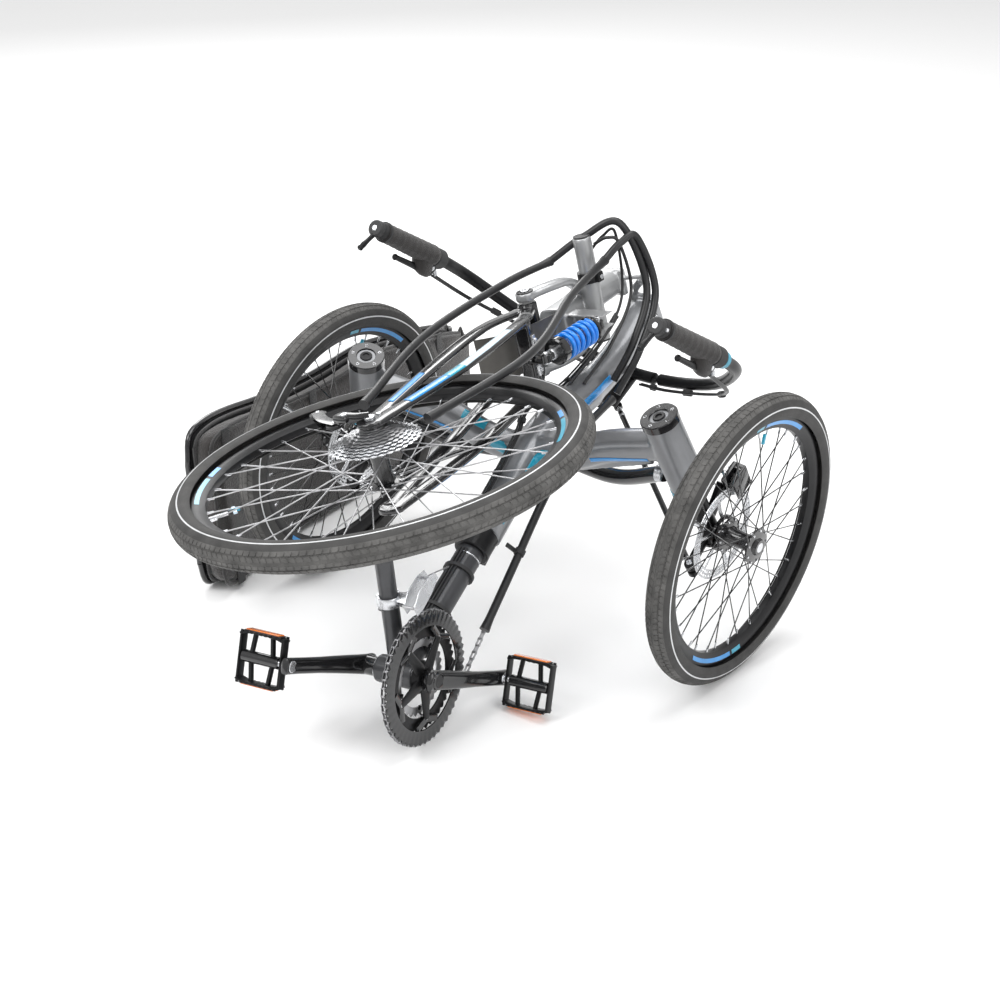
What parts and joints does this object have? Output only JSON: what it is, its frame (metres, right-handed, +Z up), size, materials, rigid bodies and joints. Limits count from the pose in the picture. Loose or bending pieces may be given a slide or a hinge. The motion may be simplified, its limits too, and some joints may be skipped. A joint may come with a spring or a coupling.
{
  "type": "recumbent trike",
  "caption": "Full-suspension recumbent tadpole trike, folded at its slanting frame hinge and resting nose down, with its seat taken off and stood beside the left wheel.",
  "frame": {"origin": "On the floor, under the middle of the box round the folded trike and its seat.", "axes": "+X towards the drive side (to the right as seen from the front), +Y towards the rear axle end of the front frame and the seat head, +Z up."},
  "size_m": [1.0452, 1.4104, 0.6441],
  "materials": {
    "light_grey_paint": "metallic satin",
    "dark_grey_paint": "satin",
    "black_metal": "black anodised",
    "bright_steel": "brushed",
    "blue_paint": "gloss powder coat",
    "black_plastic": "matte moulded",
    "grip_rubber": "matte",
    "tyre_rubber": "matte with a pale reflective stripe",
    "seat_fabric": "spacer mesh with piping"
  },
  "bodies": {
    "frame": {"main_frame": "light_grey_paint", "lower_cross_tube": "black_metal", "boom": "dark_grey_paint", "boom_clamp": "black_metal", "front_derailleur": "bright_steel", "hinge_lever": "black_metal", "cable_run": "black_plastic", "chain_tube_front": "black_plastic", "seat_cushion": "seat_fabric", "seat_shell": "black_plastic"},
    "rear_section": {"rear_frame": "light_grey_paint", "swingarm": "black_metal", "shock": "black_metal", "shock_spring": "blue_paint", "rear_axle": "bright_steel", "rear_derailleur": "black_metal", "mud_flap": "black_plastic", "chain_tube_rear_top": "black_plastic", "chain_tube_rear_low": "black_plastic"},
    "rear_wheel": {"tyre_rear": "tyre_rubber", "rim_rear": "black_metal", "hub_rear": "black_metal", "cassette": "bright_steel"},
    "handlebar": {"handlebar": "black_metal", "grip_right": "grip_rubber", "grip_left": "grip_rubber", "brake_lever_right": "black_plastic", "brake_lever_left": "black_plastic", "shifter_right": "black_plastic", "shifter_left": "black_plastic", "brake_line_right": "black_plastic", "brake_line_left": "black_plastic"},
    "knuckle_right": {"knuckle_right": "black_metal", "brake_caliper_right": "black_plastic"},
    "knuckle_left": {"knuckle_left": "black_metal", "brake_caliper_left": "black_plastic"},
    "wheel_right": {"tyre_right": "tyre_rubber", "rim_right": "black_metal", "hub_right": "black_metal", "brake_disc_right": "bright_steel"},
    "wheel_left": {"tyre_left": "tyre_rubber", "rim_left": "black_metal", "hub_left": "black_metal", "brake_disc_left": "bright_steel"},
    "tie_rod_right": {"tie_rod_right": "black_metal"},
    "tie_rod_left": {"tie_rod_left": "black_metal"},
    "crankset": {"chainrings": "black_metal", "crank_arm_right": "black_metal", "crank_arm_left": "black_metal"},
    "pedal_right": {"pedal_right": "black_metal"},
    "pedal_left": {"pedal_left": "black_metal"}
  },
  "joints": [
    {"name": "fold", "type": "hinge", "parent": "frame", "child": "rear_section", "pos_m": [0.06751, 0.42844, 0.48453], "axis": [-0.6029, 0.3024, -0.7383], "range_deg": [0, 155.65]},
    {"name": "rear_wheel_spin", "type": "hinge", "parent": "rear_section", "child": "rear_wheel", "pos_m": [0.02898, -0.3814, 0.43354], "axis": [-0.2081, -0.0516, 0.9767], "continuous": true},
    {"name": "steering", "type": "hinge", "parent": "frame", "child": "handlebar", "pos_m": [0.06923, 0.36642, 0.33251], "axis": [-0.0105, -0.3681, 0.9297], "range_deg": [-14, 36]},
    {"name": "kingpin_right", "type": "hinge", "parent": "frame", "child": "knuckle_right", "pos_m": [0.39519, 0.0132, 0.24966], "axis": [-0.2451, -0.353, 0.903], "range_deg": [-14, 36]},
    {"name": "kingpin_left", "type": "hinge", "parent": "frame", "child": "knuckle_left", "pos_m": [-0.25477, 0.0132, 0.24231], "axis": [0.2246, -0.353, 0.9083], "range_deg": [-14, 36]},
    {"name": "tie_rod_right_pivot", "type": "hinge", "parent": "handlebar", "child": "tie_rod_right", "pos_m": [0.07767, 0.32636, 0.27639], "axis": [-0.0105, -0.3681, 0.9297], "range_deg": [-36, 14]},
    {"name": "tie_rod_left_pivot", "type": "hinge", "parent": "handlebar", "child": "tie_rod_left", "pos_m": [0.03768, 0.32636, 0.27594], "axis": [-0.0105, -0.3681, 0.9297], "range_deg": [-36, 14]},
    {"name": "wheel_right_spin", "type": "hinge", "parent": "knuckle_right", "child": "wheel_right", "pos_m": [0.45911, 0.00207, 0.24575], "axis": [0.9834, -0.1713, -0.0602], "continuous": true},
    {"name": "wheel_left_spin", "type": "hinge", "parent": "knuckle_left", "child": "wheel_left", "pos_m": [-0.31868, 0.02453, 0.24571], "axis": [0.9833, -0.1743, -0.0523], "continuous": true},
    {"name": "cranks", "type": "hinge", "parent": "frame", "child": "crankset", "pos_m": [0.07182, -0.41307, 0.10377], "axis": [0.9949, -0.0394, 0.0929], "continuous": true},
    {"name": "pedal_right_spin", "type": "hinge", "parent": "crankset", "child": "pedal_right", "pos_m": [0.21973, -0.26373, 0.04706], "axis": [0.9949, -0.0394, 0.0929], "continuous": true},
    {"name": "pedal_left_spin", "type": "hinge", "parent": "crankset", "child": "pedal_left", "pos_m": [-0.07609, -0.56242, 0.16047], "axis": [0.9949, -0.0394, 0.0929], "continuous": true}
  ],
  "couplings": [
    {"joint": "kingpin_right", "follows": "steering", "ratio": 1},
    {"joint": "kingpin_left", "follows": "steering", "ratio": 1},
    {"joint": "tie_rod_right_pivot", "follows": "steering", "ratio": -1},
    {"joint": "tie_rod_left_pivot", "follows": "steering", "ratio": -1}
  ]
}
